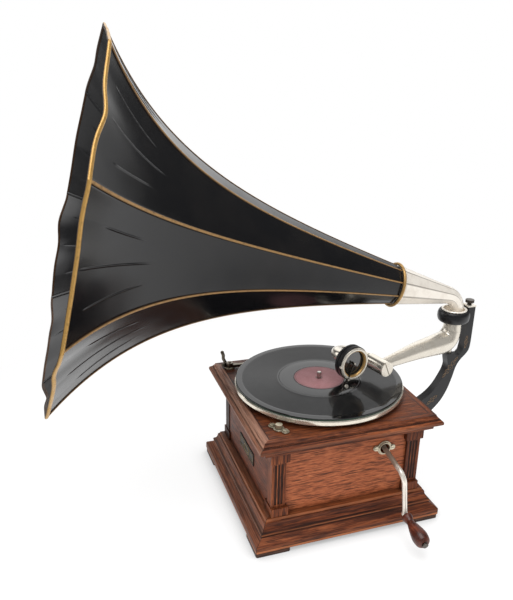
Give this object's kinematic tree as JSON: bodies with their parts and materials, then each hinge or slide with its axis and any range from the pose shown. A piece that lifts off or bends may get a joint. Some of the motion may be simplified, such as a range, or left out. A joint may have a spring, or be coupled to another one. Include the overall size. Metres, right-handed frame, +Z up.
{
  "type": "horn gramophone",
  "caption": "Wind-up table gramophone: square oak case, felt-topped turntable with disc record, side crank, back bracket, tone arm with sound box and a panelled flower horn on an elbow.",
  "frame": {"origin": "on the floor under the turntable spindle, at the centre of the square case", "axes": "+Z up along the spindle, -Y towards the horn mouth and the front plate, +X towards the crank"},
  "size_m": [0.4874, 0.6539, 0.666],
  "materials": {
    "oak": "satin",
    "dark_wood": "satin",
    "plain_wood": "matte",
    "grip_wood": "gloss",
    "brass_plate": "aged",
    "nickel": "worn nickel",
    "dark_nickel": "tarnished",
    "felt": "matte",
    "steel": "satin",
    "spring_steel": "blued",
    "shellac": "gloss",
    "label_paper": "matte",
    "black_enamel": "satin",
    "rubber": "matte",
    "brass": "satin",
    "mica": "clear",
    "gold_paint": "gold bronze paint",
    "horn_black": "gloss",
    "iron": "painted"
  },
  "bodies": {
    "case": {"feet": "dark_wood", "plinth": "oak", "bottom_board": "plain_wood", "case_front": "oak", "case_back": "oak", "case_left": "oak", "case_right": "oak", "pilasters": "oak", "cornice": "oak", "motor_board": "oak", "name_plate": "brass_plate", "deck_plates": "nickel", "crank_escutcheon": "nickel", "bracket": "black_enamel", "bracket_cap": "nickel", "motor_plate": "iron", "motor_frame": "iron", "motor_brackets": "iron", "screws": "nickel"},
    "turntable": {"turntable": "nickel", "turntable_felt": "felt", "spindle": "steel", "record": "shellac", "record_label": "label_paper"},
    "brake": {"brake_lever": "dark_nickel"},
    "speed_control": {"speed_knob": "dark_nickel"},
    "crank": {"crank": "nickel"},
    "grip": {"crank_grip": "grip_wood"},
    "thumb_screw": {"thumb_screw": "dark_nickel"},
    "arm": {"tone_arm": "nickel", "arm_sleeve": "nickel", "sleeve_cap": "nickel"},
    "sound_box": {"gooseneck": "nickel", "sound_box_rubber": "rubber", "sound_box_shell": "black_enamel", "sound_box_ring": "nickel", "sound_box_bezel": "brass", "diaphragm": "mica", "stylus_bar": "steel", "needle": "steel"},
    "needle_clamp": {"needle_screw": "nickel"},
    "horn": {"horn_elbow": "nickel", "throat_ring": "gold_paint", "horn_panel_1": "horn_black", "horn_panel_2": "horn_black", "horn_panel_3": "horn_black", "horn_panel_4": "horn_black", "horn_panel_5": "horn_black", "horn_panel_6": "horn_black", "horn_panel_7": "horn_black", "horn_panel_8": "horn_black", "horn_panel_9": "horn_black", "horn_seams": "gold_paint", "horn_rim": "gold_paint"},
    "barrel": {"spring_barrel": "steel", "mainspring": "spring_steel"},
    "arbor": {"winding_arbor": "steel"},
    "intermediate": {"intermediate_gear": "brass"},
    "governor": {"governor": "brass"}
  },
  "joints": [
    {"name": "turntable_spin", "type": "hinge", "parent": "case", "child": "turntable", "pos_m": [0, 0, 0.18], "axis": [0, 0, 1], "continuous": true},
    {"name": "brake_swing", "type": "hinge", "parent": "case", "child": "brake", "pos_m": [-0.10324, -0.11031, 0.1752], "axis": [0, 0, 1], "range_deg": [0, 20]},
    {"name": "speed_knob_turn", "type": "hinge", "parent": "case", "child": "speed_control", "pos_m": [0.09845, -0.09845, 0.1742], "axis": [0, 0, 1], "range_deg": [-150, 150]},
    {"name": "crank_turn", "type": "hinge", "parent": "case", "child": "crank", "pos_m": [0.113, 0.057, 0.121], "axis": [0.9848, 0, -0.1736], "continuous": true},
    {"name": "grip_spin", "type": "hinge", "parent": "crank", "child": "grip", "pos_m": [0.16016, 0.0728, 0.0372], "axis": [0.9848, 0, -0.1736], "continuous": true},
    {"name": "thumb_screw_turn", "type": "hinge", "parent": "case", "child": "thumb_screw", "pos_m": [0, 0.253, 0.2802], "axis": [0, 0, 1], "continuous": true},
    {"name": "tone_arm_swing", "type": "hinge", "parent": "case", "child": "arm", "pos_m": [0, 0.226, 0.2302], "axis": [0, 0, 1], "range_deg": [-2, 38]},
    {"name": "gooseneck_flip", "type": "hinge", "parent": "arm", "child": "sound_box", "pos_m": [0.03543, 0.08282, 0.211], "axis": [-0.9707, -0.2402, 0], "range_deg": [0, 100]},
    {"name": "needle_screw_turn", "type": "hinge", "parent": "sound_box", "child": "needle_clamp", "pos_m": [0.05642, 0.01758, 0.19729], "axis": [0.9707, 0.2402, 0], "continuous": true},
    {"name": "horn_swivel", "type": "hinge", "parent": "case", "child": "horn", "pos_m": [0, 0.226, 0.2702], "axis": [0, 0, 1], "range_deg": [-90, 90]},
    {"name": "barrel_spin", "type": "hinge", "parent": "case", "child": "barrel", "pos_m": [0.05, 0.057, 0.08], "axis": [0, 0, 1], "continuous": true},
    {"name": "arbor_spin", "type": "hinge", "parent": "case", "child": "arbor", "pos_m": [0.05, 0.057, 0.11], "axis": [0, 0, 1], "continuous": true},
    {"name": "intermediate_spin", "type": "hinge", "parent": "case", "child": "intermediate", "pos_m": [0.02603, 0.01845, 0.06], "axis": [0, 0, 1], "continuous": true},
    {"name": "governor_spin", "type": "hinge", "parent": "case", "child": "governor", "pos_m": [0, -0.03, 0.118], "axis": [1, 0, 0], "continuous": true}
  ],
  "couplings": [
    {"joint": "intermediate_spin", "follows": "turntable_spin", "ratio": -0.3125},
    {"joint": "barrel_spin", "follows": "turntable_spin", "ratio": 0.0625},
    {"joint": "governor_spin", "follows": "turntable_spin", "ratio": -8},
    {"joint": "arbor_spin", "follows": "crank_turn", "ratio": 0.33333}
  ]
}
